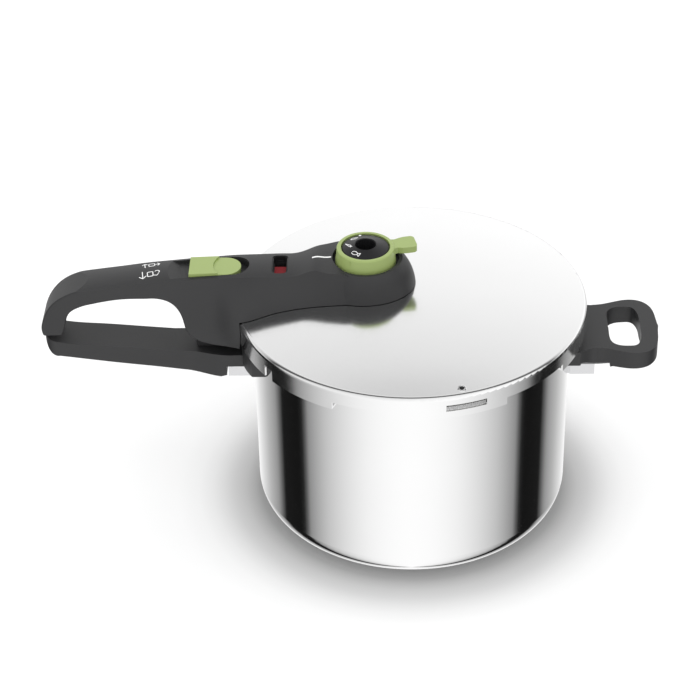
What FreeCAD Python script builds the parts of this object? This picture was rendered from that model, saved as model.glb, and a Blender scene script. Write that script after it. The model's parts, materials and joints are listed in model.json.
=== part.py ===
import FreeCAD, Part
import math
import operator
import os
import Sketcher

# Stovetop pressure cooker: a steel pot with a bayonet rim, a lid that turns and lifts off, a long handle
# on each, a loop handle opposite, a sliding lock, a selector dial over the steam valve, a pressure
# indicator and a safety valve. Millimetres. Z is up and passes through the middle of the pot; the origin
# is the middle of the underside of the base; the long handles point towards -X.

V = FreeCAD.Vector
UP = V(0, 0, 1)
doc = FreeCAD.newDocument("PressureCooker")
sheet = doc.addObject("Spreadsheet::Sheet", "Sizes")
nodes = []

OPERATIONS = {"+": operator.add, "-": operator.sub, "*": operator.mul, "/": operator.truediv}


class Size:
    """A dimension: its value, and the spreadsheet expression that gives it."""

    def __init__(self, value, text, bound=True):
        self.value = float(value)
        self.text = text
        self.bound = bound

    def __add__(self, other):
        return combined(self, "+", other)

    def __sub__(self, other):
        return combined(self, "-", other)

    def __mul__(self, other):
        return combined(self, "*", other)

    def __truediv__(self, other):
        return combined(self, "/", other)

    def __neg__(self):
        return combined(-1, "*", self)

    def root(self):
        return Size(math.sqrt(self.value), f"sqrt({self.text})", self.bound)


def sized(number):
    if isinstance(number, Size):
        return number
    return Size(number, f"({float(number)!r})", False)


def combined(left, sign, right):
    first, second = sized(left), sized(right)
    value = OPERATIONS[sign](first.value, second.value)
    return Size(value, f"({first.text} {sign} {second.text})", first.bound or second.bound)


# ---------------------------------------------------------------- driving dimensions
DIMENSIONS = {
    # pot
    "pot_radius": 111, "pot_wall": 1, "base_corner": 18, "base_height": 6, "base_skin": 0.8,
    "rim_low": 151.5, "rim_top": 154, "flange_radius": 114.5, "lug_radius": 119, "lug_sweep": 24.3,
    # lid
    "lid_radius": 122.15, "lid_sheet": 1.4, "lid_edge": 164.2, "lid_crown": 176, "lid_bend": 3,
    "skirt_low": 147.5, "skirt_high": 153, "hook_radius": 115.8, "hook_sheet": 1.5,
    # gasket
    "gasket_inner": 107, "gasket_outer": 120.2, "gasket_low": 154.3, "gasket_top": 163.4,
    # handle fixings
    "bracket_low": 106, "bracket_top": 119.2, "bracket_half": 12.8, "bracket_sheet": 1.5,
    "bracket_reach": 129, "tongue_reach": 165, "long_screw_place": 150, "loop_screw_place": 123,
    "screw_bore": 2.1, "screw_head_radius": 4,
    # stations of the parts along the lid handle
    "dial_place": 31.3, "safety_place": 60, "indicator_place": 90.3, "screw_place": 5,
    # selector
    "dial_floor": 192.6, "dial_foot_radius": 21.1, "dial_top_radius": 19.9, "dial_top": 205.2,
    "cap_radius": 16.2, "cap_room": 17, "cap_edge": 204.7, "cap_crown": 207.2, "steam_hole": 7.1,
    "hub_radius": 15.5, "hub_bore": 13.4,
    "lever_reach": 35.3, "lever_half": 7.1, "lever_thick": 4.6, "lever_angle": 13,
    "recess_radius": 23,
    # lock
    "lock_travel": 5.5, "slider_left": 153.1, "slider_right": 117.5, "slider_half": 10.9,
    "slider_foot": 185.3, "tongue_top": 189.9, "block_top": 192,
    "bolt_half": 2.9, "bolt_low": 151.6, "bolt_high": 153.9, "bolt_tip": 122.6,
}


def fill_sheet():
    sizes = {}
    for row, (alias, value) in enumerate(DIMENSIONS.items(), start=1):
        sheet.set(f"A{row}", alias)
        sheet.set(f"B{row}", str(value))
        sheet.setAlias(f"B{row}", alias)
        sizes[alias] = Size(value, f"Sizes.{alias}")
    doc.recompute()
    return sizes


S = fill_sheet()
LID_SHOULDER = S["lid_radius"].value - S["lid_bend"].value
LID_RISE = S["lid_crown"].value - S["lid_edge"].value
DOME_RADIUS = (LID_SHOULDER ** 2 + LID_RISE ** 2) / (2 * LID_RISE)
SCREW_DEPTH = 10.5  # how far the handle screws reach into the plastic above their brackets


# ---------------------------------------------------------------- helpers
def node(piece, name):
    """Marks an object as a finished sub-part; its Label names its file."""
    piece.Label = name
    nodes.append(piece)
    return piece


def bind(piece, path, size):
    size = sized(size)
    if "." not in path:
        setattr(piece, path, size.value)
    if size.bound or "." in path:
        piece.setExpression(path, size.text)


def place(piece, x=0, y=0, z=0, turn=0):
    angle = sized(turn)
    piece.Placement = FreeCAD.Placement(V(sized(x).value, sized(y).value, sized(z).value),
                                        FreeCAD.Rotation(UP, angle.value))
    for path, size in (("Placement.Base.x", x), ("Placement.Base.y", y), ("Placement.Base.z", z)):
        if sized(size).bound:
            bind(piece, path, size)
    return piece


def box(name, x, y, z):
    """A block between two corners; x, y and z are (low, high) pairs."""
    piece = doc.addObject("Part::Box", name)
    for path, (low, high) in (("Length", x), ("Width", y), ("Height", z)):
        bind(piece, path, sized(high) - low)
    return place(piece, x[0], y[0], z[0])


def cylinder(name, radius, z, x=0, y=0, start=0, sweep=360):
    piece = doc.addObject("Part::Cylinder", name)
    bind(piece, "Radius", radius)
    bind(piece, "Height", sized(z[1]) - z[0])
    bind(piece, "Angle", sweep)
    return place(piece, x, y, z[0], start)


def fuse(name, pieces):
    result = doc.addObject("Part::MultiFuse", name)
    result.Shapes = pieces
    return result


def cut(name, base, tools):
    result = doc.addObject("Part::Cut", name)
    result.Base = base
    result.Tool = tools[0] if len(tools) == 1 else fuse(name + "_tools", tools)
    return result


def ring_sectors(name, inner, outer, z, starts, sweeps):
    """Curved plates of one ring, one for each start angle."""
    wedges = [cylinder(f"{name}_{number}", outer, z, start=start, sweep=sweep)
              for number, (start, sweep) in enumerate(zip(starts, sweeps))]
    plates = wedges[0] if len(wedges) == 1 else fuse(name + "_wedges", wedges)
    return cut(name, plates, [cylinder(name + "_bore", inner, z)])


def feature(name, shape):
    piece = doc.addObject("Part::Feature", name)
    piece.Shape = shape
    return piece


def plane(body, role):
    return next(item for item in body.Origin.OriginFeatures if item.Role == role)


def pin(sketch, geometry, position, kind, size):
    """Fixes one coordinate of a sketch point, bound to the sheet where it comes from it."""
    size = sized(size)
    if abs(size.value) < 1e-9:
        axis = -2 if kind == "DistanceX" else -1
        sketch.addConstraint(Sketcher.Constraint("PointOnObject", geometry, position, axis))
        return
    number = sketch.addConstraint(Sketcher.Constraint(kind, -1, 1, geometry, position, size.value))
    if size.bound:
        sketch.setExpression(f"Constraints[{number}]", size.text)


def arc_between(start, end, radius, turn):
    """An arc under half a turn from start to end; turn is 1 anticlockwise and -1 clockwise."""
    chord = end - start
    across = V(-chord.y, chord.x, 0) / chord.Length
    centre = (start + end) / 2 + across * turn * math.sqrt(radius ** 2 - chord.Length ** 2 / 4)
    first, last = (start, end) if turn > 0 else (end, start)
    angles = [math.atan2(point.y - centre.y, point.x - centre.x) for point in (first, last)]
    if angles[1] < angles[0]:
        angles[1] += 2 * math.pi
    return Part.ArcOfCircle(Part.Circle(centre, UP, radius), angles[0], angles[1])


def outline(sketch, points, arcs=None):
    """Closes an outline through points; arcs gives (radius, turn) for the segments that are round."""
    arcs = arcs or {}
    corners = [V(sized(x).value, sized(y).value, 0) for x, y in points]
    segments = []
    for index, start in enumerate(corners):
        end = corners[(index + 1) % len(corners)]
        if index in arcs:
            radius, turn = arcs[index]
            number = sketch.addGeometry(arc_between(start, end, sized(radius).value, turn), False)
            segments.append((number, 1, 2) if turn > 0 else (number, 2, 1))
        else:
            segments.append((sketch.addGeometry(Part.LineSegment(start, end), False), 1, 2))
    for index, (x, y) in enumerate(points):
        number, first, _ = segments[index]
        before, _, last = segments[index - 1]
        sketch.addConstraint(Sketcher.Constraint("Coincident", before, last, number, first))
        pin(sketch, number, first, "DistanceX", x)
        pin(sketch, number, first, "DistanceY", y)
    for index, (radius, _) in arcs.items():
        number = sketch.addConstraint(
            Sketcher.Constraint("Radius", segments[index][0], sized(radius).value))
        if sized(radius).bound:
            sketch.setExpression(f"Constraints[{number}]", sized(radius).text)


def sketch_on(body, role, height=0):
    sketch = body.newObject("Sketcher::SketchObject", body.Name + "_sketch")
    sketch.AttachmentSupport = (plane(body, role), [""])
    sketch.MapMode = "FlatFace"
    if sized(height).value:
        sketch.AttachmentOffset = FreeCAD.Placement(V(0, 0, sized(height).value), FreeCAD.Rotation())
        bind(sketch, "AttachmentOffset.Base.z", height)
    return sketch


def revolved(name, points, arcs=None, x=0, y=0):
    """A PartDesign body turned about a vertical axis at (x, y) from an outline of (radius, height)."""
    body = doc.addObject("PartDesign::Body", name)
    sketch = sketch_on(body, "XZ_Plane")
    outline(sketch, points, arcs)
    turned = body.newObject("PartDesign::Revolution", name + "_turned")
    turned.Profile = sketch
    turned.ReferenceAxis = (sketch, ["V_Axis"])
    turned.Angle = 360
    body.Tip = turned
    return place(body, x, y)


def padded(name, points, height, thickness, arcs=None, x=0, y=0, turn=0):
    """A PartDesign body padded upwards by thickness from a plan outline at a height."""
    body = doc.addObject("PartDesign::Body", name)
    sketch = sketch_on(body, "XY_Plane", height)
    outline(sketch, points, arcs)
    pad = body.newObject("PartDesign::Pad", name + "_pad")
    pad.Profile = sketch
    bind(pad, "Length", thickness)
    body.Tip = pad
    return place(body, x, y, 0, turn)


def hexagon(name, across_flats, z, bore, x=0, y=0):
    """A hexagon nut with a plain bore."""
    side = sized(across_flats) / math.sqrt(3)
    corners = [(side * math.cos(math.radians(60 * step)), side * math.sin(math.radians(60 * step)))
               for step in range(6)]
    blank = padded(name + "_blank", corners, z[0], sized(z[1]) - z[0], x=x, y=y)
    return cut(name, blank, [cylinder(name + "_bore", bore, z, x, y)])


def coil(radius, wire, low, high, turns, x):
    """A compression spring about a vertical axis, between two heights."""
    pitch = (high - low - 2 * wire) / turns
    helix = Part.makeHelix(pitch, pitch * turns, radius)
    profile = Part.Wire(Part.makeCircle(wire, V(radius, 0, 0), V(0, 1, 0)))
    spring = Part.Wire(helix).makePipeShell([profile], True, True)
    spring.translate(V(x, 0, low + wire))
    return spring


def curve(points):
    """A smooth edge through points."""
    line = Part.BSplineCurve()
    line.interpolate(points)
    return line.toShape()


def side_panel(stretches, half_width):
    """A solid cut from an outline in the XZ plane, from y = -half_width to half_width.

    Each stretch is a list of (x, z): two points make a straight edge and more make a smooth curve."""
    edges = []
    for stretch in stretches:
        points = [V(x, -half_width, z) for x, z in stretch]
        edges.append(Part.LineSegment(*points).toShape() if len(points) == 2 else curve(points))
    face = Part.Face(Part.Wire(Part.__sortEdges__(edges)))
    return face.extrude(V(0, 2 * half_width, 0))


def mirrored_plan(stretches, low, high):
    """A solid from half a plan outline in (x, y), its mirror image in y, and two heights."""
    edges = []
    for side in (1, -1):
        for stretch in stretches:
            points = [V(x, side * y, low) for x, y in stretch]
            edges.append(Part.LineSegment(*points).toShape() if len(points) == 2 else curve(points))
    face = Part.Face(Part.Wire(Part.__sortEdges__(edges)))
    return face.extrude(V(0, 0, high - low))


# ---------------------------------------------------------------- pot
def base_profile_radius(skin, height):
    """Radius of the rounded base corner, a skin thickness inside it, at a height."""
    bend = S["base_corner"] - skin
    rise = S["base_corner"] - height
    return S["pot_radius"] - S["base_corner"] + (bend * bend - rise * rise).root()


def make_pot():
    radius, wall, corner = S["pot_radius"], S["pot_wall"], S["base_corner"]
    height = S["base_height"]
    vessel = revolved("vessel", [
        (0, height), (base_profile_radius(0, height), height), (radius, corner),
        (radius, S["rim_low"]), (S["flange_radius"], S["rim_low"]), (S["flange_radius"], S["rim_top"]),
        (radius - wall, S["rim_top"]), (radius - wall, corner),
        (base_profile_radius(wall, height + wall), height + wall), (0, height + wall),
    ], {1: (corner, 1), 7: (corner - wall, -1)})
    lugs = ring_sectors("pot_lugs", S["flange_radius"] - 0.5, S["lug_radius"],
                        (S["rim_low"], S["rim_top"]), POT_LUG_STARTS, [S["lug_sweep"]] * 6)
    node(fuse("pot", [vessel, lugs]), "pot_shell")
    skin = S["base_skin"]
    foot = radius - corner
    node(revolved("base_cap", [
        (0, 0), (foot, 0), (base_profile_radius(0, height), height),
        (base_profile_radius(skin, height), height), (foot, skin), (0, skin),
    ], {1: (corner, 1), 3: (corner - skin, -1)}), "base_cap")
    node(revolved("base_core", [
        (0, skin), (foot, skin), (base_profile_radius(skin, height), height), (0, height),
    ], {1: (corner - skin, 1)}), "base_core")
    keeper = ring_sectors("keeper_plate", S["flange_radius"], S["lug_radius"] + 0.2,
                          (S["rim_low"], S["rim_top"]), [172], [16])
    notch_half = S["bolt_half"] + 0.4
    notch = box("keeper_notch", (-S["lug_radius"] - 2, -S["flange_radius"] - 0.8),
                (-notch_half, notch_half), (S["rim_low"] - 1, S["rim_top"] + 1))
    node(cut("keeper", keeper, [notch]), "lock_keeper")


def make_bracket(name, side, tongue_end, screw_place):
    """A welded channel under a handle root; side is -1 for the long handle and 1 for the loop handle."""
    low, top, sheet_thick = S["bracket_low"], S["bracket_top"], S["bracket_sheet"]
    half, wall_radius = S["bracket_half"], S["pot_radius"]

    def span(inner, outer):
        return (inner, outer) if side > 0 else (-outer, -inner)

    plate = ring_sectors(name + "_plate", wall_radius, wall_radius + 1.6, (low, 139),
                         [174 if side < 0 else -6], [12])
    reach = span(wall_radius + 0.5, S["bracket_reach"])
    web = box(name + "_web", reach, (-half, half), (low, low + sheet_thick))
    cheeks = [box(f"{name}_cheek_{number}", reach, ends, (low, top))
              for number, ends in enumerate([(-half, -half + sheet_thick), (half - sheet_thick, half)])]
    tongue = box(name + "_tongue", span(wall_radius + 0.5, tongue_end),
                 (-half, half), (top - sheet_thick, top))
    bore = cylinder(name + "_bore", wall_radius, (low - 1, 141))
    drilled = cylinder(name + "_drilled", S["screw_bore"], (top - 2, top + 1), screw_place)
    node(cut(name, fuse(name + "_pieces", [plate, web, tongue] + cheeks), [bore, drilled]), name)


def wing(side, tip_angle, low_root, low_tip, top, outer):
    """A curved wing hugging the pot wall, whose lower edge rises from the root to its tips."""
    inner = S["pot_radius"].value + 0.2
    ring = Part.makeCylinder(outer, top - low_root, V(0, 0, low_root), UP)
    ring = ring.cut(Part.makeCylinder(inner, top - low_root, V(0, 0, low_root), UP))
    tip = outer * math.sin(math.radians(tip_angle))
    near, far = side * 80, side * 140
    face = Part.makePolygon([V(near, -tip, top), V(near, tip, top), V(near, tip, low_tip),
                             V(near, 12, low_root), V(near, -12, low_root), V(near, -tip, low_tip),
                             V(near, -tip, top)])
    return ring.common(Part.Face(face).extrude(V(far - near, 0, 0)))


def make_pot_handle():
    stretches = [
        [(-257, 138.6), (-256.6, 134), (-255.2, 129.6), (-252, 126), (-247, 124.6)],
        [(-247, 124.6), (-233, 122.6), (-205, 118.6), (-177, 115.1), (-149, 111.4), (-134, 110.4)],
        [(-134, 110.4), (-129.6, 112)], [(-129.6, 112), (-129.6, 119.3)], [(-129.6, 119.3), (-100, 119.3)],
        [(-100, 119.3), (-100, 128.9)],
        [(-100, 128.9), (-168, 128.6)],
        [(-168, 128.6), (-190, 130.6), (-218, 133.2), (-246, 136), (-254.6, 138.2)],
        [(-254.6, 138.2), (-257, 138.6)],
    ]
    plan = [
        [(-257.2, 0), (-256.6, 8), (-253.4, 12.4), (-247, 13.9)],
        [(-247, 13.9), (-160, 14.2)],
        [(-160, 14.2), (-150, 15.4), (-140, 18.4), (-132, 20.2), (-124, 20.5)],
        [(-124, 20.5), (-100, 20.5)], [(-100, 20.5), (-100, 0)],
    ]
    body = side_panel(stretches, 45).common(mirrored_plan(plan, 100, 150))
    riser = Part.makeBox(38, 16, 12, V(-151, -8, 124))
    riser = riser.makeFillet(2, [edge for edge in riser.Edges if edge.BoundBox.ZMin > 135
                                 or (edge.BoundBox.XMax < -150 and edge.BoundBox.ZMax > 135)])
    body = body.fuse(riser)
    pot_space = Part.makeCylinder(S["pot_radius"].value + 0.2, 60, V(0, 0, 100), UP)
    body = body.cut(pot_space).fuse(wing(-1, 23.5, 119.3, 129.6, 146.2, 119.8)).removeSplitter()
    reach, half = S["tongue_reach"].value, S["bracket_half"].value
    top = S["bracket_top"].value
    slot = Part.makeBox(reach - 108, 2 * half, S["bracket_sheet"].value,
                        V(-reach, -half, top - S["bracket_sheet"].value))
    plate = Part.makeCylinder(S["pot_radius"].value + 1.65, 33.2, V(0, 0, 106), UP, 12.4)
    plate.rotate(V(), UP, 173.8)
    screw_x = -S["long_screw_place"].value
    seat = top - S["bracket_sheet"].value
    screw = Part.makeCylinder(S["screw_bore"].value, SCREW_DEPTH + 0.5, V(screw_x, 0, top), UP)
    head_room = Part.makeCylinder(S["screw_head_radius"].value + 0.3, 14, V(screw_x, 0, seat - 14), UP)
    shape = body.cut([slot, plate, screw, head_room])
    node(feature("long_grip", rounded(shape, 1.6, upper_and_lower_creases)), "pot_handle")


def rounded(shape, radius, wanted):
    """Rounds the edges that the test picks out, one at a time where the whole set can't be done."""
    edges = [edge for edge in shape.Edges if wanted(edge)]
    if not edges:
        return shape
    try:
        result = shape.makeFillet(radius, edges)
        if result.isValid():
            return result
    except Part.OCCError:
        pass
    return shape


def upper_and_lower_creases(edge):
    """The long creases of the lower grip, between its tip and its flare."""
    bounds = edge.BoundBox
    return bounds.XMax < -159 and bounds.XLength > 40 and bounds.YLength < 4 and abs(bounds.Center.y) > 9


# The corner taken off each lower side of the loop handle's root, in (y, z).
LOOP_UNDERSIDE = [(19.6, 119.3), (40, 119.3), (40, 132), (30, 128), (19.6, 119.3)]


def make_helper_handle():
    plan = [
        [(100, 32.6), (116.6, 32.6)], [(116.6, 32.6), (119.6, 30.6), (123.6, 27.8), (130, 27)],
        [(130, 27), (137, 28.2), (144, 30.6), (151, 32.8), (158, 33.2), (164, 31), (169, 25.4),
         (172, 14), (173.4, 0)],
        [(100, 0), (100, 32.6)],
    ]
    hole_plan = [
        [(138, 0), (138.4, 15), (140.4, 20.6), (145, 23.6), (151, 24.2), (156, 23.4), (159.2, 18.6),
         (160.6, 10), (161, 0)],
    ]
    blank = mirrored_plan(plan, 105, 138)
    blank = blank.cut(mirrored_plan(hole_plan, 100, 145))
    profile = [
        [(95, 145), (95, 119.3)], [(95, 119.3), (131, 119.3)], [(131, 119.3), (134.5, 121.4), (140, 124)],
        [(140, 124), (175, 126)], [(175, 126), (175, 145)], [(175, 145), (95, 145)],
    ]
    body = blank.common(side_panel(profile, 40))
    shape = body.cut(Part.makeCylinder(S["pot_radius"].value + 0.2, 60, V(0, 0, 100), UP))
    for side in (1, -1):
        underside = Part.makePolygon([V(95, side * y, z) for y, z in LOOP_UNDERSIDE])
        shape = shape.cut(Part.Face(underside).extrude(V(43, 0, 0)))
    shape = shape.fuse(wing(1, 15.6, 119.3, 127, 138, 121.3)).removeSplitter()
    half, top = S["bracket_half"].value, S["bracket_top"].value
    sheet = S["bracket_sheet"].value
    slot = Part.makeBox(23, 2 * half, sheet, V(108, -half, top - sheet))
    plate = Part.makeCylinder(S["pot_radius"].value + 1.65, 33.2, V(0, 0, 106), UP, 12.4)
    plate.rotate(V(), UP, -6.2)
    screw_x = S["loop_screw_place"].value
    screw = Part.makeCylinder(S["screw_bore"].value, SCREW_DEPTH + 0.5, V(screw_x, 0, top), UP)
    shape = shape.cut([slot, plate, screw])
    node(feature("loop_grip", rounded(shape, 3, loop_edges)), "helper_handle")


def loop_edges(edge):
    """The upper and lower edges of the loop handle, outside its root."""
    bounds = edge.BoundBox
    return bounds.XMin > 122 and bounds.ZLength < 3 and bounds.Center.z > 123 and edge.Length > 6


def make_handle_screws():
    """One slotted screw into each handle root, from below through its bracket."""
    screws = []
    seat = S["bracket_top"] - S["bracket_sheet"]
    shank_top = S["bracket_top"] + SCREW_DEPTH
    for number, place_x in enumerate((-S["long_screw_place"], S["loop_screw_place"])):
        head = cylinder(f"screw_head_{number}", S["screw_head_radius"], (seat - 3, seat), place_x)
        shank = cylinder(f"screw_shank_{number}", S["screw_bore"] - 0.1, (seat - 0.5, shank_top), place_x)
        slot = box(f"screw_slot_{number}", (place_x - 5, place_x + 5), (-0.5, 0.5), (seat - 4, seat - 1.8))
        screws.append(cut(f"screw_{number}", fuse(f"screw_solid_{number}", [head, shank]), [slot]))
    node(fuse("screw_pair", screws), "handle_screws")


# ---------------------------------------------------------------- lid
POT_LUG_STARTS = [-139, -88.2, -31.5, 19, 69.5, 119.9]
HOOK_STARTS = [-140.6, -90.2, -33.6, 17, 67.5, 117.8]
HOOK_SWEEPS = [24.7, 31, 24.8, 24.8, 24.8, 24.8]
APRON_START = 144.4


def raised_stretches():
    """Where the skirt is cut higher: between one hook and the next, but not behind the handle."""
    ends = [start + sweep for start, sweep in zip(HOOK_STARTS, HOOK_SWEEPS)]
    return ends[:-1], [stop - end for end, stop in zip(ends, HOOK_STARTS[1:])]


def make_lid():
    radius, sheet_thick, bend = S["lid_radius"], S["lid_sheet"], S["lid_bend"]
    edge, crown = S["lid_edge"], S["lid_crown"]
    shoulder = radius - bend
    rise = crown - edge
    dome = (shoulder * shoulder + rise * rise) / (rise * 2)
    inner_dome = dome - sheet_thick
    inner_edge = radius - bend - 0.2
    centre = crown - dome
    inner_height = (inner_dome * inner_dome - inner_edge * inner_edge).root() + centre
    shell = revolved("lid_pressing", [
        (0, crown), (0, crown - sheet_thick), (inner_edge, inner_height),
        (radius - sheet_thick, inner_height - 1.4), (radius - sheet_thick, S["skirt_low"]),
        (radius, S["skirt_low"]), (radius, edge - bend), (shoulder, edge),
    ], {1: (inner_dome, -1), 6: (bend, 1), 7: (dome, 1)})
    starts, sweeps = raised_stretches()
    low = S["skirt_low"] - 1
    gaps = ring_sectors("skirt_gaps", radius - 3, radius + 1, (low, S["skirt_high"]), starts, sweeps)
    notches = ring_sectors("apron_notches", radius - 3, radius + 1, (low, 156),
                           [APRON_START - 2.8, -APRON_START], [2.8, 4])
    window = ring_sectors("window_cut", radius - 3, radius + 1, (152.6, 157.4), [-79.6], [13.2])
    bolt_hole = box("bolt_hole", (-radius - 1, -radius + 3), (-3.5, 3.5), (151, 155.2))
    holes = [cylinder("nozzle_hole", 6.1, (160, 180), -S["dial_place"]),
             cylinder("safety_hole", 5.1, (160, 180), -S["safety_place"]),
             cylinder("indicator_hole", 5, (160, 180), -S["indicator_place"]),
             cylinder("screw_hole", 3.2, (160, 180), -S["screw_place"])]
    trimmed = cut("lid_trimmed", shell, [gaps, notches, window, bolt_hole] + holes)
    hooks = ring_sectors("lid_hooks", S["hook_radius"], radius - sheet_thick + 0.4,
                         (S["skirt_low"], S["skirt_low"] + S["hook_sheet"]), HOOK_STARTS, HOOK_SWEEPS)
    node(fuse("lid", [trimmed, hooks]), "lid_shell")


def make_gasket():
    inner, outer = S["gasket_inner"], S["gasket_outer"]
    low, top = S["gasket_low"], S["gasket_top"]
    node(revolved("gasket", [
        (inner, low), (outer - 1.6, low), (outer, low + 1.6), (outer, top - 3.2), (outer - 2.2, top - 0.6),
        (inner + 2, top), (inner, top), (inner, top - 1.8), (outer - 5, top - 2.8), (outer - 5, low + 2),
        (inner, low + 1.8),
    ]), "gasket")


# ---------------------------------------------------------------- lid handle
# Cross-sections of the handle at stations along X: half-width and height of the top crease, height of
# the crown, half-width and height at mid side, half-width at the bottom.
HANDLE_SECTIONS = [
    (-262, 13.4, 172.6, 173.8, 13.6, 160, 13.6), (-240, 13.7, 176.1, 177.3, 13.8, 160, 13.8),
    (-221, 13.8, 179.2, 180.5, 13.9, 160, 13.9), (-190, 13.8, 183.6, 185.1, 13.9, 160, 13.9),
    (-172, 13.9, 185.7, 187.2, 14.6, 160, 15.2), (-158, 14.0, 187.1, 188.6, 17.0, 158, 17.6),
    (-145, 14.2, 188.2, 189.7, 20.0, 160, 18.4), (-132, 14.6, 189.0, 190.5, 24.6, 162, 19.6),
    (-119, 15.0, 189.7, 191.2, 31.4, 165, 20.4), (-104, 15.0, 190.1, 191.6, 29.8, 167, 28.0),
    (-90, 15.2, 190.4, 191.9, 26.2, 169.6, 27.0), (-80, 15.1, 190.8, 192.2, 25.2, 171, 26.0),
    (-74, 14.9, 192.7, 193.9, 25.0, 171.6, 26.0), (-68, 15.3, 195.2, 196.4, 25.0, 172.2, 26.0),
    (-62, 17.4, 195.9, 196.9, 25.1, 172.8, 26.0), (-55, 20.0, 195.9, 196.9, 25.4, 173.4, 26.0),
    (-45, 22.6, 195.9, 196.8, 25.6, 174.2, 25.0), (-38, 22.6, 195.9, 196.7, 25.0, 174.8, 24.0),
]
# The nose round the dial at several heights: height, how far its middle is ahead of the dial, its reach
# along X and its reach along Y.
NOSE_SECTIONS = [(163, 1.3, 33.4, 28), (174, 1.3, 33.4, 28.2), (185.5, 1, 31.5, 28), (196.6, 0, 25.4, 25)]
HANDLE_FOOT = 128
WINDOW_HALF = 4.3  # half the length of the indicator's window along X


def handle_section(station, half_top, crease, crown, half_middle, middle, half_foot):
    foot_right, foot_left = V(station, half_foot, HANDLE_FOOT), V(station, -half_foot, HANDLE_FOOT)
    top_right, top_left = V(station, half_top, crease), V(station, -half_top, crease)
    return Part.Wire([
        Part.LineSegment(foot_left, foot_right).toShape(),
        curve([foot_right, V(station, half_middle, middle), top_right]),
        curve([top_right, V(station, 0, crown), top_left]),
        curve([top_left, V(station, -half_middle, middle), foot_left]),
    ])


def handle_envelope():
    """The lofted bar of the handle and the rounded nose that carries the dial."""
    bar = Part.makeLoft([handle_section(*row) for row in HANDLE_SECTIONS], True, False)
    rings = []
    for height, ahead, reach_x, reach_y in NOSE_SECTIONS:
        ring = Part.Ellipse(V(ahead - S["dial_place"].value, 0, height), reach_x, reach_y)
        rings.append(Part.Wire(ring.toShape()))
    return bar, Part.makeLoft(rings, True, False)


def handle_side():
    """The side view of the lid handle: the hooked tip, the finger opening and the root."""
    return [
        [(-257.4, 142), (-258.4, 147), (-257, 153.3), (-253.4, 161.3), (-247, 169.2), (-237.2, 175.6),
         (-226.4, 179.4), (-215, 183)],
        [(-215, 183), (-200, 205)], [(-200, 205), (10, 205)], [(10, 205), (10, 138.4)],
        [(10, 138.4), (-138, 138.4)],
        [(-138, 138.4), (-146, 139.6), (-152.4, 142.6), (-156.4, 147.6), (-158, 153.5), (-160.2, 161),
         (-165.2, 167.6), (-172, 171), (-180.5, 172.2)],
        [(-180.5, 172.2), (-201, 170.6), (-222, 167.4)],
        [(-222, 167.4), (-231.4, 164.6), (-238, 159.6), (-240.8, 152.6), (-242.4, 146.4), (-244.2, 142.4)],
        [(-244.2, 142.4), (-257.4, 142)],
    ]


def lid_space():
    """Everything the lid fills, with a hair of room above it and round its skirt."""
    sphere = Part.makeSphere(DOME_RADIUS + 0.35, V(0, 0, S["lid_crown"].value - DOME_RADIUS))
    return sphere.common(Part.makeCylinder(S["lid_radius"].value + 0.25, 100, V(0, 0, 100), UP))


def slot_plan(left, right, half, low, high):
    """A slot with a square left end and a round right end, between two heights."""
    square = Part.makeBox(right - half - left, 2 * half, high - low, V(left, -half, low))
    return square.fuse(Part.makeCylinder(half, high - low, V(right - half, 0, low), UP)).removeSplitter()


def rounded_block(x, y, z, corner):
    """A block with rounded vertical corners."""
    block = Part.makeBox(x[1] - x[0], y[1] - y[0], z[1] - z[0], V(x[0], y[0], z[0]))
    upright = [edge for edge in block.Edges if edge.BoundBox.ZLength > z[1] - z[0] - 0.01]
    return block.makeFillet(corner, upright)


def handle_cavities():
    """Rooms inside the handle for the lock, the valves and the indicator."""
    dial, safety = -S["dial_place"].value, -S["safety_place"].value
    indicator = -S["indicator_place"].value
    return [
        Part.makeBox(22.6, 10, 46.2, V(-146.5, -5, 137)),
        Part.makeBox(6, 7, 4.2, V(-125, -3.5, 151)),
        Part.makeBox(-76 + 101, 21, 24.5, V(-101, -10.5, 160)),
        Part.makeBox(-31 + 76, 21, 26.8, V(-76, -10.5, 160)),
        Part.makeCylinder(20, 29.5, V(dial, 0, 160), UP),
        Part.makeCylinder(S["hub_radius"].value + 0.35, 20, V(dial, 0, 185), UP),
        Part.makeCylinder(S["recess_radius"].value, 20, V(dial, 0, S["dial_floor"].value), UP),
        Part.makeBox(2 * WINDOW_HALF, 19, 10, V(indicator - WINDOW_HALF, -9.5, 180)),
        Part.makeCylinder(4, 17, V(-S["screw_place"].value, 0, 170), UP),
    ]


def lock_openings():
    """The slider's slot with its finger scoop, and the slit for its stem."""
    scoop = Part.makePolygon([V(-172, 0, 188.6), V(-160, 0, 185), V(-152, 0, 185), V(-152, 0, 200),
                              V(-172, 0, 200), V(-172, 0, 188.6)])
    scoop = Part.Face(scoop).extrude(V(0, 22.8, 0))
    scoop.translate(V(0, -11.4, 0))
    return [slot_plan(-154, -111.7, 11.4, 185, 200), scoop, Part.makeBox(15, 6.4, 8, V(-142.5, -3.2, 179))]


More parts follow.
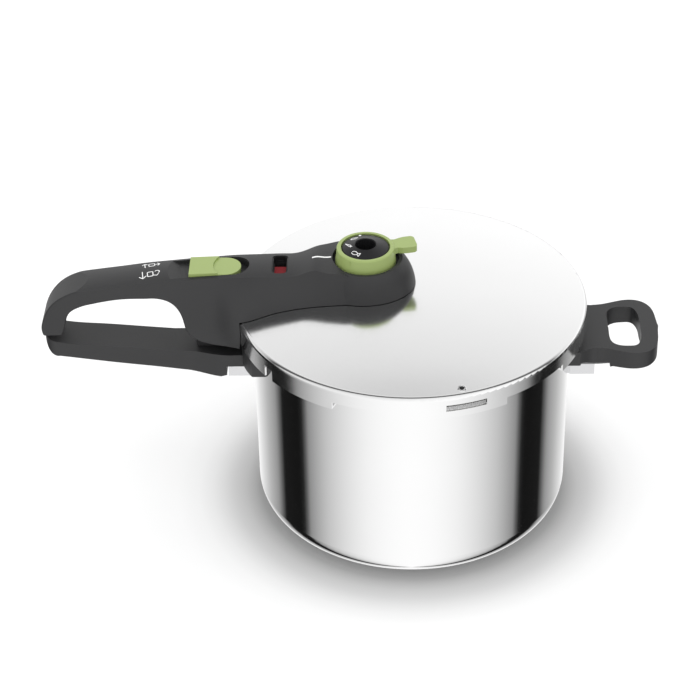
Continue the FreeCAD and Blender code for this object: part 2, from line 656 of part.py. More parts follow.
def make_lid_handle():
    bar, nose = handle_envelope()
    trimmed_bar = bar.common(side_panel(handle_side(), 45)).cut(lid_space())
    outer = trimmed_bar.fuse(nose.cut(lid_space())).removeSplitter()
    bezel_room = rounded_block((-96, -85), (-11.4, 11.4), (187, 200), 3.4)
    mark_room = Part.makeBox(13.1, 1.5, 10, V(-68.2, -0.75, 190))
    raised, lowered = outer.copy(), outer.copy()
    raised.translate(V(0, 0, 0.08))
    lowered.translate(V(0, 0, -0.6))
    mark = mark_room.common(raised).cut(lowered)
    bezel = bezel_room.common(lowered.copy())
    bezel = bezel.cut(rounded_block((-95.2, -85.8), (-10.6, 10.6), (187.5, 200), 2.8))
    window_x = -S["indicator_place"].value - WINDOW_HALF
    bezel = bezel.cut(Part.makeBox(2 * WINDOW_HALF, 19, 10, V(window_x, -9.5, 180)))
    strap = Part.makeCylinder(S["lid_radius"].value + 1.9, 15, V(0, 0, 148.8), UP, 12.4)
    strap.rotate(V(), UP, 173.8)
    studs = [Part.makeCylinder(1.6, 14, V(-135, y, 159.4), V(1, 0, 0)) for y in (-9, 9)]
    tools = [bezel_room, mark, strap] + studs + handle_cavities() + lock_openings()
    shape = outer.cut(tools)
    node(feature("upper_grip", rounded(shape, 1.2, handle_creases)), "lid_handle")
    node(feature("indicator_frame", bezel), "indicator_bezel")
    node(feature("line", mark), "pointer_mark")
    cover = Part.makeBox(22.4, 9.8, 2, V(-146.4, -4.9, 140.2))
    node(feature("root_plate", cover), "root_cover")


def handle_creases(edge):
    """The long side creases of the grip, ahead of its flare."""
    bounds = edge.BoundBox
    return bounds.XLength > 25 and bounds.XMax < -150 and abs(bounds.Center.y) > 12 and bounds.ZMax < 200


def make_handle_bracket():
    """A curved strap on the skirt with two studs that hold the handle root, and a window for the bolt."""
    radius = S["lid_radius"]
    strap = ring_sectors("strap_plate", radius, radius + 1.6, (149, 163), [174], [12])
    studs = []
    for number, y in enumerate((-9, 9)):
        stud = doc.addObject("Part::Cylinder", f"strap_stud_{number}")
        bind(stud, "Radius", 1.5)
        bind(stud, "Height", 11.6)
        stud.Placement = FreeCAD.Placement(V(-134.6, y, 159.4), FreeCAD.Rotation(V(0, 1, 0), 90))
        studs.append(stud)
    window = box("strap_window", (-radius - 3, -radius + 2), (-3.5, 3.5), (151, 155.2))
    node(cut("strap", fuse("strap_pieces", [strap] + studs), [window]), "lid_handle_bracket")


def make_lid_fixings():
    place_x = -S["screw_place"]
    head = cylinder("nose_screw_head", 6, (171, 174.1), place_x)
    shank = cylinder("nose_screw_shank", 2.9, (173.5, 185), place_x)
    slot = box("nose_screw_slot", (place_x - 7, place_x + 7), (-0.6, 0.6), (170, 172.2))
    node(cut("nose_screw", fuse("nose_screw_solid", [head, shank]), [slot]), "lid_handle_screw")
    sleeve = cylinder("insert_sleeve", 4, (177, 187), place_x)
    bore = cylinder("insert_bore", 2.9, (176, 185.2), place_x)
    node(cut("insert", sleeve, [bore]), "handle_insert")


# ---------------------------------------------------------------- steam valve and selector
def make_steam_valve():
    place_x = -S["dial_place"]
    node(revolved("nozzle", [
        (1.6, 164.5), (6, 164.5), (6, 176.7), (9.5, 176.7), (9.5, 180), (5.5, 182), (5.5, 187),
        (3, 190), (1.6, 190),
    ], x=place_x), "steam_nozzle")
    washer = cylinder("washer_disc", 9.5, (175.7, 176.7), place_x)
    node(cut("washer", washer, [cylinder("washer_bore", 6, (175, 177), place_x)]), "nozzle_washer")
    node(hexagon("nozzle_lock", 17, (168.9, 173.1), 6, place_x), "nozzle_nut")
    node(revolved("weight", [
        (0, 189.4), (1.3, 190.25), (6, 190.25), (6, 192.2), (3.2, 192.2), (3.2, 194.8), (0, 194.8),
    ], x=place_x), "steam_poppet")
    node(feature("weight_spring", coil(4.7, 0.45, 192.25, 196.65, 3.5, place_x.value)), "steam_spring")


def make_selector():
    place_x = -S["dial_place"]
    hub, bore = S["hub_radius"], S["hub_bore"]
    foot, top_radius, top = S["dial_foot_radius"], S["dial_top_radius"], S["dial_top"]
    ring = revolved("selector_turned", [
        (foot - 1.8, 193.4), (foot, 193.4), (top_radius, top - 1.2), (top_radius - 1.2, top),
        (S["cap_room"], top), (S["cap_room"], 202.3), (bore, 202.3), (bore, 187.5),
        (hub, 187.5), (hub, 200.6), (foot - 2.8, 200.6),
    ], {2: (1.2, 1)}, x=place_x)
    reach, half, thick = S["lever_reach"], S["lever_half"], S["lever_thick"]
    lever = padded("selector_lever", [
        (18, -half + 0.6), (21.5, -half + 1.6), (25, -half + 0.4), (28, -half), (reach - 3, -half),
        (reach, -half + 3), (reach, half - 3), (reach - 3, half), (28, half), (25, half - 0.6),
        (21.5, half - 1.8), (18, half - 1),
    ], top - thick - 0.7, thick, {4: (3, 1), 6: (3, 1)}, x=place_x, turn=S["lever_angle"])
    rib = box("selector_rib", (20, 21.3), (-0.7, 0.7), (195.5, 203.4))
    rib.Placement = FreeCAD.Placement(V(place_x.value, 0, 195.5), FreeCAD.Rotation(UP, -122)).multiply(
        FreeCAD.Placement(V(19, -0.7, 0), FreeCAD.Rotation()))
    node(fuse("selector", [ring, lever, rib]), "selector_ring")
    hole, cap = S["steam_hole"], S["cap_radius"]
    edge, crown = S["cap_edge"], S["cap_crown"]
    node(revolved("selector_disc", [
        (0, 196.9), (hole + 1, 196.9), (hole + 1, 202.4), (cap, 202.4), (cap, edge - 0.4),
        (cap - 0.4, edge), (hole + 0.5, crown), (hole, crown - 0.5), (hole, 197.9), (0, 197.9),
    ], x=place_x), "selector_cap")
    node(revolved("selector_catch", [
        (hub, 187.7), (hub + 2.4, 187.7), (hub + 2.4, 189.1), (hub, 189.1),
    ], x=place_x), "selector_clip")


# ---------------------------------------------------------------- pressure indicator and safety valve
def make_indicator():
    place_x = -S["indicator_place"]
    node(revolved("guide", [
        (3.3, 164.4), (4.8, 164.4), (4.8, 171.6), (7.4, 171.6), (7.4, 173.6), (3.3, 173.6),
    ], x=place_x), "indicator_guide")
    pin_body = revolved("indicator_turned", [
        (0, 157.6), (4.6, 157.6), (4.6, 159.2), (2.9, 159.2), (2.9, 184), (0, 184),
    ], x=place_x)
    flag = box("indicator_flag", (place_x - 4, place_x + 4), (-8.9, 1.5), (183, 188))
    node(fuse("indicator_pin", [pin_body, flag]), "indicator_piston")
    node(revolved("indicator_collar", [
        (2.9, 159.2), (5.4, 159.2), (4.6, 160.6), (2.9, 160.6),
    ], x=place_x), "indicator_seal")


def make_safety_valve():
    place_x = -S["safety_place"]
    node(revolved("safety_housing", [
        (2, 163.5), (5, 163.5), (5, 174.2), (8.5, 174.2), (8.5, 176.6), (7, 176.6), (7, 186), (4.8, 186),
        (4.8, 175.2), (2, 175.2),
    ], x=place_x), "safety_valve_body")
    plug = cylinder("safety_plug", 4.8, (184.2, 186), place_x)
    node(cut("safety_lid", plug, [cylinder("safety_vent", 1, (184, 187), place_x)]), "safety_valve_cap")
    node(hexagon("safety_lock", 15, (166, 170.2), 5, place_x), "safety_valve_nut")
    node(revolved("ball_and_seat", [
        (0, 174), (1.5, 174.6), (1.9, 175.3), (4.3, 175.3), (4.3, 177), (1.6, 177), (1.6, 180.5), (0, 180.5),
    ], x=place_x), "safety_poppet")
    node(feature("safety_coil", coil(3.2, 0.45, 177.05, 184.15, 5, place_x.value)), "safety_spring")


# ---------------------------------------------------------------- lock
def make_lock():
    left, right = -S["slider_left"].value, -S["slider_right"].value
    half, foot = S["slider_half"].value, S["slider_foot"].value
    tongue = slot_plan(left, right, half, foot, S["tongue_top"].value)
    block = Part.makeBox(20, 2 * half, S["block_top"].value - foot, V(left, -half, foot))
    block = block.cut(Part.makeCylinder(17, 20, V(left + 33.4, 0, S["tongue_top"].value), UP))
    shape = tongue.fuse(block).removeSplitter()
    tilt = Part.makeBox(60, 40, 20, V(-60, -20, 0))
    tilt.rotate(V(), V(0, 1, 0), -2.2)
    tilt.translate(V(right + 3, 0, S["block_top"].value - 0.1))
    shape = rounded(shape.cut(tilt), 1.1, slider_edges)
    stem = Part.makeBox(6, 5.6, 6, V(-140.4, -2.8, foot - 5.6))
    node(feature("slider", shape.fuse(stem).removeSplitter()), "lock_slider")
    half_bolt, low, high = S["bolt_half"], S["bolt_low"], S["bolt_high"]
    bar = box("bolt_bar", (-140.4, -S["bolt_tip"]), (-half_bolt, half_bolt), (low, high))
    leg = box("bolt_leg", (-140.4, -134.4), (-half_bolt, half_bolt), (low, foot - 5.6))
    node(fuse("bolt", [bar, leg]), "lock_bolt")


def slider_edges(edge):
    """The slider's upper edges."""
    return edge.BoundBox.ZMin > S["tongue_top"].value - 0.6 and edge.Length > 2


# ---------------------------------------------------------------- build, check and write
make_pot()
make_bracket("long_handle_bracket", -1, S["tongue_reach"], -S["long_screw_place"])
make_bracket("helper_bracket", 1, S["bracket_reach"] + 2, S["loop_screw_place"])
make_pot_handle()
make_helper_handle()
make_handle_screws()
make_lid()
make_gasket()
make_lid_handle()
make_handle_bracket()
make_lid_fixings()
make_steam_valve()
make_selector()
make_indicator()
make_safety_valve()
make_lock()
doc.recompute()

faults = [item.Label for item in doc.Objects if {"Invalid", "Error"} & set(item.State)]
faults += [piece.Label for piece in nodes if piece.Shape.isNull() or not piece.Shape.isValid()]
if faults:
    raise RuntimeError("These objects failed: " + ", ".join(faults))

os.makedirs("parts", exist_ok=True)
for piece in nodes:
    piece.Shape.exportStep(f"parts/{piece.Label}.step")
    print(f"{piece.Label}: {len(piece.Shape.Solids)} solids, {piece.Shape.Volume / 1000:.2f} cm3")
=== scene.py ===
import json
import math

import bmesh
import bpy
from mathutils import Matrix, Vector
from mathutils.bvhtree import BVHTree


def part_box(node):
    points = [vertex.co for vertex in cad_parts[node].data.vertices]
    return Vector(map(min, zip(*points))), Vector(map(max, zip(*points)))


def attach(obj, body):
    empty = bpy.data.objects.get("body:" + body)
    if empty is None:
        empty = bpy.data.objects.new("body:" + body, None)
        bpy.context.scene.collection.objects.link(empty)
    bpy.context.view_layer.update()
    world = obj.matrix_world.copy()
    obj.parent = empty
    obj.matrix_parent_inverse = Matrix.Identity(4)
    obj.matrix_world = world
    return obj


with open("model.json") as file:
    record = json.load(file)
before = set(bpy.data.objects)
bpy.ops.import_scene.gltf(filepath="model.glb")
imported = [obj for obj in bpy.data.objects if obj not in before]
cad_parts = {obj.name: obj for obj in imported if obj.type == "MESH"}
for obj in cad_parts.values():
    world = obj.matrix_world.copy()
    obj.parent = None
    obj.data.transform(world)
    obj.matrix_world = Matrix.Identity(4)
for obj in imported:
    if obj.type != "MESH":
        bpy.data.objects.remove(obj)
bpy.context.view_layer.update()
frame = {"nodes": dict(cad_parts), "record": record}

# Stovetop pressure cooker on a white studio floor with a painted contact shadow round its base. Metres, in
# the
# CAD frame: Z is up, the long handles point towards -X, and the camera looks roughly along +Y.

MM = 0.001
scene = bpy.context.scene
nodes = frame["nodes"]


# ---------------------------------------------------------------- camera
CAMERA_TARGET = Vector((-0.0433, 0, 0.1186))
CAMERA_DISTANCE = 1.578
CAMERA_ELEVATION = math.radians(34.88)
CAMERA_AZIMUTH = math.radians(1.41)
CAMERA_ROLL = math.radians(1.11)
CAMERA_LENS = 114.5


def add_camera():
    data = bpy.data.cameras.new("studio camera")
    data.lens = CAMERA_LENS
    data.clip_start = 0.05
    data.clip_end = 100
    flat = math.cos(CAMERA_ELEVATION)
    back = Vector((math.sin(CAMERA_AZIMUTH) * flat, -math.cos(CAMERA_AZIMUTH) * flat,
                   math.sin(CAMERA_ELEVATION)))
    right = Vector((0, 0, 1)).cross(back).normalized()
    up = back.cross(right)
    tilted_up = up * math.cos(CAMERA_ROLL) + right * math.sin(CAMERA_ROLL)
    tilted_right = right * math.cos(CAMERA_ROLL) - up * math.sin(CAMERA_ROLL)
    turn = Matrix((tilted_right, tilted_up, back)).transposed().to_4x4()
    turn.translation = CAMERA_TARGET + back * CAMERA_DISTANCE
    camera = bpy.data.objects.new("studio camera", data)
    scene.collection.objects.link(camera)
    camera.matrix_world = turn
    scene.camera = camera


add_camera()
scene.view_settings.view_transform = "Standard"


# ---------------------------------------------------------------- node graphs
class Graph:
    """Adds and links the nodes of one material or world."""

    def __init__(self, tree):
        self.tree = tree

    def add(self, kind, inputs=None, **settings):
        made = self.tree.nodes.new(kind)
        for name, value in settings.items():
            setattr(made, name, value)
        for socket, value in (inputs or {}).items():
            if isinstance(value, bpy.types.NodeSocket):
                self.tree.links.new(value, made.inputs[socket])
            else:
                made.inputs[socket].default_value = value
        return made

    def math(self, operation, *values):
        return self.add("ShaderNodeMath", dict(enumerate(values)), operation=operation).outputs[0]

    def ramp(self, factor, stops):
        """Grey level along a factor; stops are (place, level)."""
        made = self.add("ShaderNodeValToRGB", {"Fac": factor})
        elements = made.color_ramp.elements
        elements[0].position, elements[1].position = stops[0][0], stops[-1][0]
        for place, _ in stops[1:-1]:
            elements.new(place)
        for element, (_, level) in zip(elements, stops):
            element.color = (level, level, level, 1)
        return made.outputs["Color"]

    def blend(self, factor, first, second):
        made = self.add("ShaderNodeMix", {"Factor": factor}, data_type="RGBA")
        for socket, value in ((made.inputs[6], first), (made.inputs[7], second)):
            if isinstance(value, bpy.types.NodeSocket):
                self.tree.links.new(value, socket)
            else:
                socket.default_value = value
        return made.outputs[2]


def grey(level):
    return (level, level, level, 1)


# ---------------------------------------------------------------- studio
# What polished steel sees of the studio, by compass direction below the horizon: 0 is behind the
# object, 1 is in front of it, and the two dark flags stand at its left and right.
SIDE_LEVELS = [
    (0.0, 1.05), (0.067, 0.80), (0.159, 0.52), (0.25, 0.33), (0.297, 0.12), (0.329, 0.012),
    (0.483, 0.008), (0.517, 0.02), (0.544, 0.12), (0.57, 0.30), (0.703, 0.60), (0.821, 0.82),
    (0.919, 1.0), (1.0, 1.12),
]
# The same above the horizon, along an arch from behind the object, over it and down in front.
ARCH_LEVELS = [
    (0.0, 1.12), (0.08, 1.12), (0.19, 1.02), (0.29, 0.86), (0.34, 0.62), (0.385, 0.16), (0.44, 0.05),
    (0.50, 0.16), (0.58, 0.85), (0.75, 1.0), (1.0, 1.1),
]
DAYLIGHT_LEVEL = 1.1
OVERHEAD_EXTRA = 0.25
LEFT_FALL = 0.12


def add_studio_world():
    world = bpy.data.worlds.new("studio")
    scene.world = world
    world.use_nodes = True
    world.cycles.sampling_method = "NONE"
    world.node_tree.nodes.clear()
    graph = Graph(world.node_tree)
    direction = graph.add("ShaderNodeTexCoord").outputs["Generated"]
    parts = graph.add("ShaderNodeSeparateXYZ", {0: direction}).outputs
    across, along, height = parts[0], parts[1], parts[2]
    flat = graph.math("MAXIMUM", graph.math("SQRT", graph.math(
        "ADD", graph.math("MULTIPLY", across, across), graph.math("MULTIPLY", along, along))), 0.001)
    frontness = graph.math("MULTIPLY_ADD", graph.math("DIVIDE", along, flat), -0.5, 0.5)
    sides = graph.ramp(frontness, SIDE_LEVELS)
    arch_place = graph.math("DIVIDE", graph.math("ARCTAN2", height, along), math.pi)
    arch = graph.ramp(arch_place, ARCH_LEVELS)
    shade = graph.math("MULTIPLY_ADD", across, LEFT_FALL, 1.0)
    arch = graph.add("ShaderNodeVectorMath", {0: arch, 1: shade}, operation="MULTIPLY").outputs[0]
    above = graph.add("ShaderNodeMapRange", {"Value": height, "From Min": 0.0, "From Max": 0.15},
                      interpolation_type="SMOOTHSTEP").outputs[0]
    seen = graph.blend(above, sides, arch)
    soft = graph.math("MULTIPLY_ADD", height, OVERHEAD_EXTRA, DAYLIGHT_LEVEL)
    path = graph.add("ShaderNodeLightPath").outputs
    level = graph.blend(path["Is Diffuse Ray"], seen, soft)
    level = graph.blend(path["Is Camera Ray"], level, grey(1.0))
    background = graph.add("ShaderNodeBackground", {"Color": level})
    graph.add("ShaderNodeOutputWorld", {"Surface": background.outputs[0]})


# Tone of the floor by distance from the pot's axis, as a share of FLOOR_REACH. The darker tones near the
# base are painted on: they stand in for a contact shadow that the light alone doesn't give.
FLOOR_REACH = 0.2
FLOOR_SIZE = 12.0
FLOOR_TONES = [
    (0.0, 0.38), (0.55, 0.38), (0.575, 0.46), (0.61, 0.56), (0.65, 0.63), (0.69, 0.73), (0.73, 0.81),
    (0.78, 0.87), (0.86, 0.90), (1.0, 0.90),
]


def add_floor():
    mesh = bpy.data.meshes.new("floor")
    half = FLOOR_SIZE / 2
    mesh.from_pydata([(-half, -half, 0), (half, -half, 0), (half, half, 0), (-half, half, 0)], [],
                     [(0, 1, 2, 3)])
    floor = bpy.data.objects.new("floor", mesh)
    scene.collection.objects.link(floor)
    paint = bpy.data.materials.new("studio floor")
    paint.use_nodes = True
    shader = paint.node_tree.nodes["Principled BSDF"]
    graph = Graph(paint.node_tree)
    place = graph.add("ShaderNodeTexCoord").outputs["Object"]
    distance = graph.add("ShaderNodeVectorMath", {0: place}, operation="LENGTH").outputs["Value"]
    tone = graph.ramp(graph.math("DIVIDE", distance, FLOOR_REACH), FLOOR_TONES)
    graph.tree.links.new(tone, shader.inputs["Base Color"])
    shader.inputs["Roughness"].default_value = 1.0
    shader.inputs["Specular IOR Level"].default_value = 0.0
    mesh.materials.append(paint)
    floor.visible_glossy = False


SOFTBOX_SIZE = (1.6, 1.2)
SOFTBOX_WATTS = 4
SOFTBOX_PLACE = (-0.25, -0.35, 2.2)
SOFTBOX_AIM = Vector((0, 0, 0.1))


def add_overhead_light():
    data = bpy.data.lights.new("overhead softbox", "AREA")
    data.shape = "RECTANGLE"
    data.size, data.size_y = SOFTBOX_SIZE
    data.energy = SOFTBOX_WATTS
    light = bpy.data.objects.new("overhead softbox", data)
    scene.collection.objects.link(light)
    light.location = SOFTBOX_PLACE
    light.rotation_euler = (SOFTBOX_AIM - light.location).to_track_quat("-Z", "Y").to_euler()
    light.visible_glossy = False
    light.visible_camera = False


add_studio_world()
add_floor()
add_overhead_light()


# ---------------------------------------------------------------- finishes
def finish_material(name, color, metallic, roughness, variation, grain, bump=0.0, tint=0.04, specular=0.5,
                    stretch=(1, 1, 1)):
    """A shader whose colour, roughness and fine relief vary with procedural noise.

    grain is the size of the fine relief in metres, roughness varies by variation either way, and the
    colour by tint."""
    made = bpy.data.materials.new(name)
    made.use_nodes = True
    graph = Graph(made.node_tree)
    shader = made.node_tree.nodes["Principled BSDF"]
    shader.inputs["Metallic"].default_value = metallic
    shader.inputs["Specular IOR Level"].default_value = specular
    place = graph.add("ShaderNodeTexCoord").outputs["Object"]
    stretched = graph.add("ShaderNodeMapping", {"Vector": place, "Scale": stretch}).outputs[0]
    broad = graph.add("ShaderNodeTexNoise", {"Vector": place, "Scale": 35.0, "Detail": 4.0}).outputs[0]
    dark = tuple(channel * (1 - tint) for channel in color)
    light = tuple(min(1.0, channel * (1 + tint)) for channel in color)
    colour = graph.blend(broad, (*dark, 1), (*light, 1))
    graph.tree.links.new(colour, shader.inputs["Base Color"])
    fine = graph.add("ShaderNodeTexNoise", {
        "Vector": stretched, "Scale": 1 / grain, "Detail": 3.0}).outputs[0]
    spread = graph.add("ShaderNodeMapRange", {
        "Value": fine, "From Min": 0.3, "From Max": 0.7,
        "To Min": roughness - variation, "To Max": roughness + variation}).outputs[0]
    graph.tree.links.new(spread, shader.inputs["Roughness"])
    if bump:
        relief = graph.add("ShaderNodeBump", {"Strength": bump, "Distance": grain * 0.3, "Height": fine})
        graph.tree.links.new(relief.outputs[0], shader.inputs["Normal"])
    return made


finishes = {
    "polished_steel": finish_material("polished steel", (0.88, 0.88, 0.88), 1, 0.07, 0.012, 0.004,
                                      tint=0.01),
    "satin_steel": finish_material("satin steel", (0.66, 0.66, 0.67), 1, 0.28, 0.05, 0.0006, bump=0.05,
                                   tint=0.03, stretch=(1, 1, 12)),
    "aluminium_core": finish_material("aluminium core", (0.72, 0.72, 0.73), 1, 0.4, 0.06, 0.0008,
                                      bump=0.08),
    "dark_plastic": finish_material("textured dark plastic", (0.0245, 0.0245, 0.0255), 0, 0.46, 0.05,
                                    0.00035, bump=0.18, tint=0.06, specular=0.42),
    "black_plastic": finish_material("black plastic", (0.012, 0.012, 0.013), 0, 0.36, 0.05, 0.0006,
                                     bump=0.05, tint=0.05, specular=0.3),
    "green_plastic": finish_material("satin green plastic", (0.29, 0.37, 0.122), 0, 0.36, 0.04, 0.0005,
                                     bump=0.04, tint=0.04),
    "red_plastic": finish_material("red plastic", (0.16, 0.006, 0.01), 0, 0.45, 0.04, 0.0008, bump=0.03,
                                   specular=0.1),
    "white_print": finish_material("white print", (0.85, 0.85, 0.85), 0, 0.5, 0.06, 0.0004, bump=0.05,
                                   tint=0.02),
    "silicone": finish_material("grey silicone", (0.5, 0.5, 0.49), 0, 0.55, 0.08, 0.0006, bump=0.08),
    "brass_fitting": finish_material("turned brass", (0.78, 0.6, 0.3), 1, 0.26, 0.06, 0.0005, bump=0.06,
                                     stretch=(1, 1, 14)),
}

# The lid is the same steel as the pot with a softer polish.
lid_polish = finish_material("softly polished steel", (0.88, 0.88, 0.88), 1, 0.15, 0.02, 0.003, tint=0.01)

for part in frame["record"]["subparts"]:
    slots = nodes[part["node"]].data.materials
    finish = lid_polish if part["node"] == "lid_shell" else finishes[part["material_slot"]]
    for index in range(len(slots)):
        slots[index] = finish


# ---------------------------------------------------------------- building pieces
def add_piece(name, mesh, body, slot, smooth=True):
    """Turns a bmesh into a piece that rides on a body and takes a slot's finish."""
    bmesh.ops.recalc_face_normals(mesh, faces=mesh.faces)
    data = bpy.data.meshes.new(name)
    mesh.to_mesh(data)
    mesh.free()
    data.materials.append(finishes[slot])
    if smooth:
        data.shade_smooth()
    piece = bpy.data.objects.new(name, data)
    scene.collection.objects.link(piece)
    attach(piece, body)
    return piece


def surface_tree(node):
    """A search tree over a CAD node's faces, for casting rays at it."""
    data = nodes[node].data
    return BVHTree.FromPolygons([vertex.co for vertex in data.vertices],
                                [polygon.vertices for polygon in data.polygons])


def surface_height(node):
    """A function giving the height of a CAD node's upper surface at (x, y)."""
    tree = surface_tree(node)

    def height(x, y):
        return tree.ray_cast(Vector((x, y, 1)), Vector((0, 0, -1)))[0].z

    return height


PRINT_STEP = 0.5 * MM
PRINT_PROUD = 0.12 * MM
PRINT_SUNK = 0.1 * MM


def walk(path):
    """Points at a small step along a path of (x, y) corners in metres."""
    points = [Vector(path[0])]
    for start, end in zip(path, path[1:]):
        start, end = Vector(start), Vector(end)
        count = max(1, math.ceil((end - start).length / PRINT_STEP))
        points += [start.lerp(end, step / count) for step in range(1, count + 1)]
    return points


def add_ribbon(mesh, path, width, height):
    """A thin raised line of print along a path, laid on a surface."""
    points = walk(path)
    closed = (points[0] - points[-1]).length < 1e-7
    rows = []
    for index, point in enumerate(points):
        before = points[index - 1] if index else (points[-2] if closed else point)
        after = points[index + 1] if index + 1 < len(points) else (points[1] if closed else point)
        ahead = (after - before).normalized()
        side = Vector((-ahead.y, ahead.x)) * width / 2
        row = []
        for corner in (point + side, point - side):
            top = height(corner.x, corner.y)
            row += [mesh.verts.new((corner.x, corner.y, top + PRINT_PROUD)),
                    mesh.verts.new((corner.x, corner.y, top - PRINT_SUNK))]
        rows.append(row)
    for (a, b, c, d), (e, f, g, h) in zip(rows, rows[1:]):
        for loop in ((a, c, g, e), (b, f, h, d), (a, e, f, b), (c, d, h, g)):
            mesh.faces.new(loop)
    for a, b, c, d in (rows[0], rows[-1]):
        mesh.faces.new((a, b, d, c))


def add_print(name, strokes, width, node, body):
    mesh = bmesh.new()
    height = surface_height(node)
    for path in strokes:
        add_ribbon(mesh, path, width, height)
    return add_piece(name, mesh, body, "white_print", smooth=False)


def arc(centre, radius, start, end, count=12, stretch=1.0):
    """Points of an arc from start to end degrees; stretch widens it along x."""
    angles = [math.radians(start + (end - start) * step / count) for step in range(count + 1)]
    return [(centre[0] + radius * stretch * math.cos(a), centre[1] + radius * math.sin(a)) for a in angles]


def moved(strokes, x, y, turn=0.0, scale=MM):
    """Strokes drawn about their own origin, turned by degrees, scaled to metres and put at (x, y)."""
    cos, sin = math.cos(math.radians(turn)), math.sin(math.radians(turn))
    return [[(x + scale * (u * cos - v * sin), y + scale * (u * sin + v * cos)) for u, v in path]
            for path in strokes]


def rounded_loop(half_x, half_y, corner):
    points = []
    for centre_x, centre_y, start in ((1, 1, 0), (-1, 1, 90), (-1, -1, 180), (1, -1, 270)):
        points += arc((centre_x * (half_x - corner), centre_y * (half_y - corner)), corner, start,
                      start + 90, count=4)
    return points + points[:1]


def lathe(name, profile, body, slot, centre, axis=(0, 0, 1), count=64):
    """A piece turned about an axis through centre; profile is (radius, height) in metres."""
    mesh = bmesh.new()
    frame_turn = Vector((0, 0, 1)).rotation_difference(Vector(axis).normalized()).to_matrix()
    rings = []
    for radius, height in profile:
        if radius < 1e-7:
            rings.append([mesh.verts.new(Vector(centre) + frame_turn @ Vector((0, 0, height)))])
            continue
        angles = [2 * math.pi * step / count for step in range(count)]
        rings.append([mesh.verts.new(Vector(centre) + frame_turn @ Vector(
            (radius * math.cos(a), radius * math.sin(a), height))) for a in angles])
    for lower, upper in zip(rings, rings[1:]):
        for step in range(count):
            after = (step + 1) % count
            loop = [lower[step % len(lower)], lower[after % len(lower)], upper[after % len(upper)],
                    upper[step % len(upper)]]
            unique = list(dict.fromkeys(loop))
            if len(unique) > 2:
                mesh.faces.new(unique)
    return add_piece(name, mesh, body, slot)


# ---------------------------------------------------------------- printed marks
ARROW = [[(0, -3.6), (0, 3.6)], [(-2.3, 1.5), (0, 3.7), (2.3, 1.5)]]


def add_handle_marks():
    """Arrows with a closed and an open box, for locking and unlocking, printed on the lid handle."""
    small, tilt = 0.8 * MM, 8
    box_shape = [rounded_loop(2.5, 2.3, 0.8)]
    strokes = moved(ARROW, -0.1850, 0.0076, tilt, small)
    strokes += moved(box_shape, -0.1803, 0.0082, tilt, small)
    strokes += moved([[(-3.0, 0), (1.6, 0)], [(0, 2.4), (2.0, 0), (0, -2.4)]], -0.1763, 0.0088, tilt, small)
    strokes += moved(ARROW, -0.1856, -0.0044, 180 + tilt, 1.1 * MM)
    strokes += moved([rounded_loop(2.4, 3.2, 0.9)], -0.1803, -0.0040, tilt, small)
    strokes += moved([arc((0, 0), 2.0, 150, -60)], -0.1757, -0.0018, tilt, small)
    strokes += moved([[(-1.6, -2.2), (1.1, -1.6), (1.6, 1.0)]], -0.1760, -0.0044, tilt - 30, small)
    add_print("handle_marks", strokes, 0.6 * MM, "lid_handle", "lid")


DIAL_MARK_RADIUS = 12.0 * MM
DIAL_DOT_RADIUS = 14.8 * MM  # from the dial's axis
DIAL_DOT_ANGLE = math.radians(105)


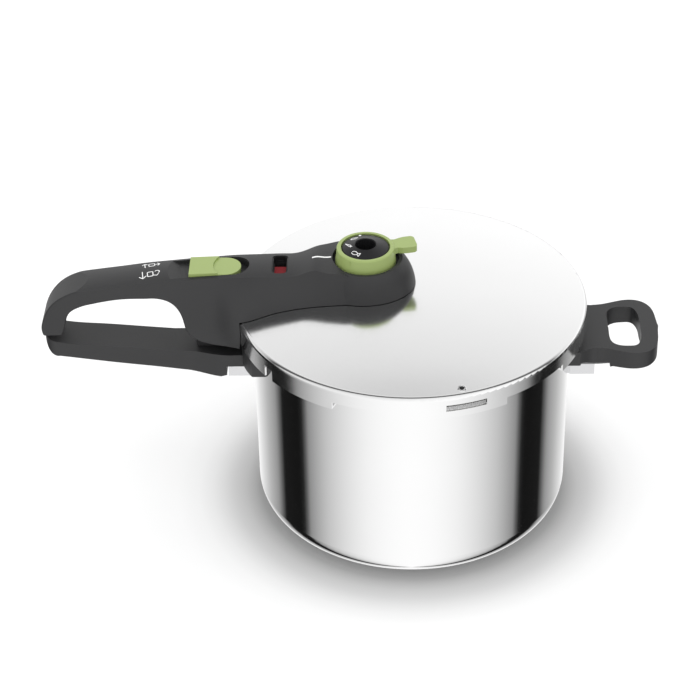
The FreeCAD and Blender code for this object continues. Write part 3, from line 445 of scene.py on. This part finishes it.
def add_dial_marks():
    """Three food pictograms on the disc of the dial and a dot on its rim."""
    low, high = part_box("selector_cap")
    centre = (low + high) / 2

    def at(angle):
        return (centre.x + DIAL_MARK_RADIUS * math.cos(math.radians(angle)),
                centre.y + DIAL_MARK_RADIUS * math.sin(math.radians(angle)))

    leaf = [arc((0, -1.6), 3.2, 35, 145, count=8), arc((0, 1.6), 3.2, -35, -145, count=8),
            [(-2.4, 0), (1.6, 0)]]
    root = [[(-3.0, -1.0), (2.0, -0.2), (3.0, 0.6), (2.2, 1.4), (-3.0, -1.0)],
            [(2.6, 0.8), (4.0, 1.6)], [(2.6, 0.8), (4.1, 0.4)]]
    fish = [arc((-0.4, -1.5), 2.9, 40, 140, count=8), arc((-0.4, 1.5), 2.9, -40, -140, count=8),
            [(1.7, 0.2), (3.6, 1.5), (3.6, -1.5), (1.7, -0.2)]]
    strokes = moved(leaf, *at(131), turn=20)
    strokes += moved(root, *at(176), turn=-70)
    strokes += moved(fish, *at(234), turn=-35)
    add_print("dial_marks", strokes, 0.42 * MM, "selector_cap", "selector")
    spot = Vector((centre.x + DIAL_DOT_RADIUS * math.cos(DIAL_DOT_ANGLE),
                   centre.y + DIAL_DOT_RADIUS * math.sin(DIAL_DOT_ANGLE), 0))
    spot.z = surface_height("selector_cap")(spot.x, spot.y)
    lathe("dial_dot", [(0, 0.25 * MM), (0.6 * MM, 0.22 * MM), (1.0 * MM, 0.05 * MM), (1.05 * MM, -0.3 * MM),
                       (0, -0.3 * MM)], "selector", "white_print", spot, count=24)


add_handle_marks()
add_dial_marks()


# ---------------------------------------------------------------- small metal details
def polar(radius, angle, height):
    return Vector((radius * math.cos(math.radians(angle)), radius * math.sin(math.radians(angle)), height))


RIM_PIN_ANGLE = -73.8
RIM_PIN_RADIUS = 115.7 * MM  # from the pot's axis


def add_rim_pin():
    """The small ringed pin pressed into the edge of the lid, over the safety window."""
    centre = polar(RIM_PIN_RADIUS, RIM_PIN_ANGLE, 0)
    centre.z = surface_height("lid_shell")(centre.x, centre.y)
    axis = Vector((centre.x, centre.y, 0)).normalized() * 0.3 + Vector((0, 0, 1))
    lathe("rim_pin_ring", [(1.75 * MM, -0.8 * MM), (1.75 * MM, 0.35 * MM), (2.1 * MM, 0.65 * MM),
                           (2.7 * MM, 0.6 * MM), (3.1 * MM, 0.2 * MM), (3.1 * MM, -0.9 * MM)],
          "lid", "polished_steel", centre, axis, count=32)
    lathe("rim_pin", [(0, 0.3 * MM), (1.1 * MM, 0.25 * MM), (1.7 * MM, -0.05 * MM),
                      (1.7 * MM, -0.8 * MM), (0, -0.8 * MM)], "lid", "black_plastic", centre, axis,
          count=24)


def wall_radius(node, height):
    """How far a node's wall is from the Z axis at a height, looking out from the middle."""
    return surface_tree(node).ray_cast(Vector((0, 0, height)), Vector((0, 1, 0)))[0].y


FILLING_LEVELS = (70 * MM, 98 * MM)


def add_level_rings():
    """Two fine filling lines raised on the inside of the pot wall."""
    for number, level in enumerate(FILLING_LEVELS):
        radius = wall_radius("pot_shell", level)
        lathe(f"filling_line_{number + 1}", [
            (radius + 0.2 * MM, level - 0.6 * MM), (radius - 0.2 * MM, level - 0.25 * MM),
            (radius - 0.2 * MM, level + 0.25 * MM), (radius + 0.2 * MM, level + 0.6 * MM)],
            "pot", "polished_steel", (0, 0, 0), count=192)


add_rim_pin()
add_level_rings()
